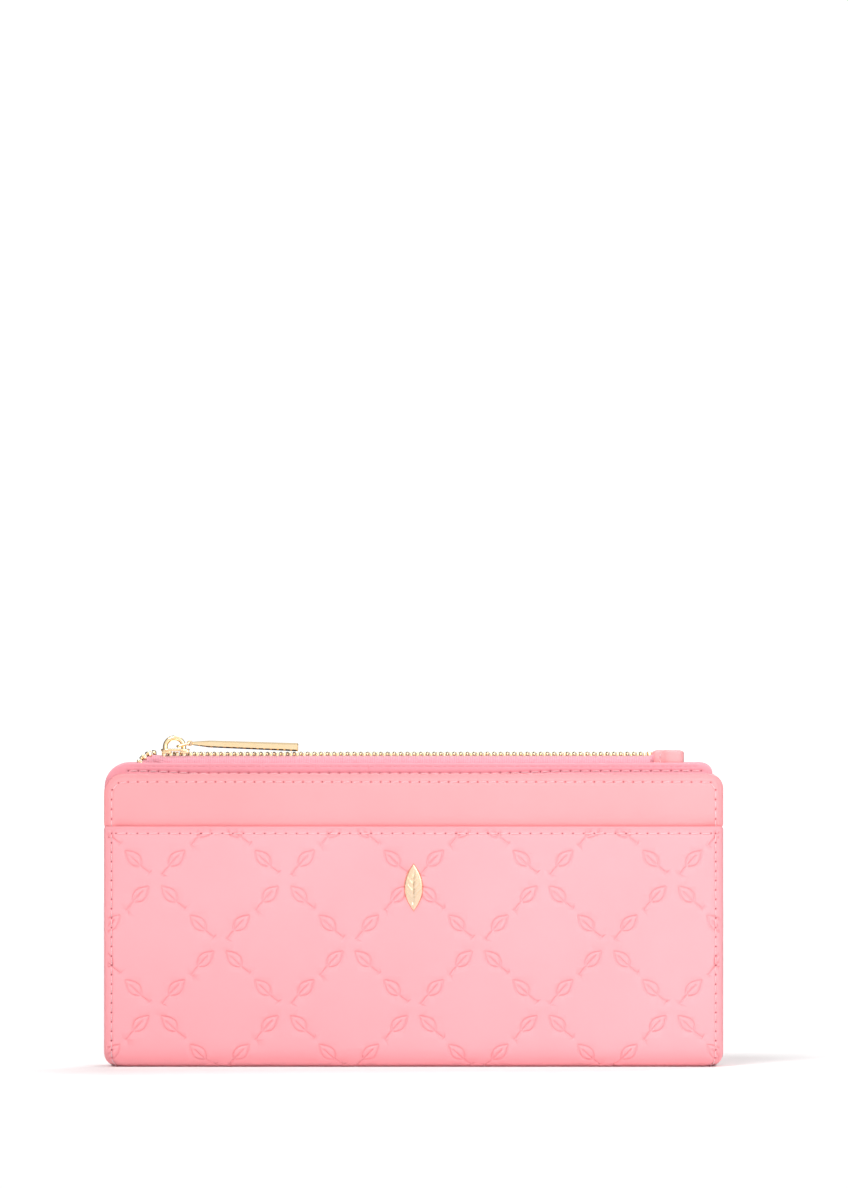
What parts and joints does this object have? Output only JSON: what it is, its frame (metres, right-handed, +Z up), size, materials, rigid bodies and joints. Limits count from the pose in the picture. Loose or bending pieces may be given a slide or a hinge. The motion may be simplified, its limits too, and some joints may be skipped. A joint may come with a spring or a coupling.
{
  "type": "zip wallet",
  "caption": "Long bifold wallet with a front slip pocket, inner card pockets and a zip pouch along the top with a gold slider and bar puller.",
  "frame": {"origin": "middle of the base that the closed wallet stands on", "axes": "+X along the wallet towards the leather tab at the zip's end, -Y out of the front cover, +Z up, from the spine to the zip"},
  "size_m": [0.19, 0.02, 0.1019],
  "materials": {
    "embossed_leather": "smooth coated leather, debossed with a lattice of leaf outlines, soft satin sheen",
    "plain_leather": "smooth coated leather, plain, soft satin sheen",
    "card_leather": "thin smooth leather with folded edges",
    "board": "grey board",
    "lining": "fine twill lining cloth",
    "zip_tape": "woven zip tape",
    "gold_metal": "polished pale gold plating",
    "magnet": "plated magnet disc",
    "thread": "fine polyester sewing thread",
    "window_film": "clear soft film"
  },
  "bodies": {
    "back": {"back_panel": "embossed_leather", "back_board": "board", "pouch_front_wall": "plain_leather", "pouch_back_wall": "plain_leather", "pouch_board": "board", "pouch_magnet": "magnet", "pouch_lining_front": "lining", "pouch_lining_back": "lining", "pouch_floor": "lining", "gusset_left": "lining", "gusset_right": "lining", "card_pocket_left_1": "card_leather", "card_pocket_left_2": "card_leather", "card_pocket_left_3": "card_leather", "card_pocket_left_4": "card_leather", "card_pocket_right_1": "card_leather", "card_pocket_right_2": "card_leather", "card_pocket_right_3": "card_leather", "card_pocket_right_4": "card_leather", "zip_tape_front": "zip_tape", "zip_tape_back": "zip_tape", "zip_teeth_front": "gold_metal", "zip_teeth_back": "gold_metal", "zip_top_stop_front": "gold_metal", "zip_top_stop_back": "gold_metal", "zip_bottom_stop": "gold_metal", "zip_end_tab": "plain_leather", "pouch_edge_stitching": "thread", "card_column_stitching": "thread", "tab_stitching": "thread", "back_edge_stitching": "thread"},
    "spine": {"spine_panel": "embossed_leather", "spine_stiffener": "board", "spine_lining": "lining"},
    "cover": {"front_pocket_panel": "embossed_leather", "front_band_panel": "plain_leather", "cover_board": "board", "cover_magnet": "magnet", "cover_lining": "lining", "cover_note_pocket": "card_leather", "cover_window_pocket": "card_leather", "cover_window_film": "window_film", "cover_card_pocket_1": "card_leather", "cover_card_pocket_2": "card_leather", "badge_plate": "gold_metal", "badge_washer": "gold_metal", "cover_edge_stitching": "thread", "pocket_edge_stitching": "thread"},
    "slider": {"slider_body": "gold_metal", "slider_crown": "gold_metal"},
    "ring": {"pull_ring": "gold_metal"},
    "puller": {"puller_bar": "gold_metal"}
  },
  "joints": [
    {"name": "cover_fold", "type": "hinge", "parent": "spine", "child": "cover", "pos_m": [0, -0.0082, 0.0018], "axis": [1, 0, 0], "range_deg": [0, 90]},
    {"name": "back_fold", "type": "hinge", "parent": "spine", "child": "back", "pos_m": [0, 0.0088, 0.0012], "axis": [-1, 0, 0], "range_deg": [0, 90]},
    {"name": "zip_slide", "type": "slide", "parent": "back", "child": "slider", "axis": [1, 0, 0], "range_m": [0, 0.14]},
    {"name": "ring_swing", "type": "hinge", "parent": "slider", "child": "ring", "pos_m": [-0.0739, 0.003, 0.0983], "axis": [0, -1, 0], "range_deg": [0, 152]},
    {"name": "puller_tilt", "type": "hinge", "parent": "ring", "child": "puller", "pos_m": [-0.06915, 0.003, 0.09949], "axis": [0, -1, 0], "range_deg": [0, 30]}
  ]
}
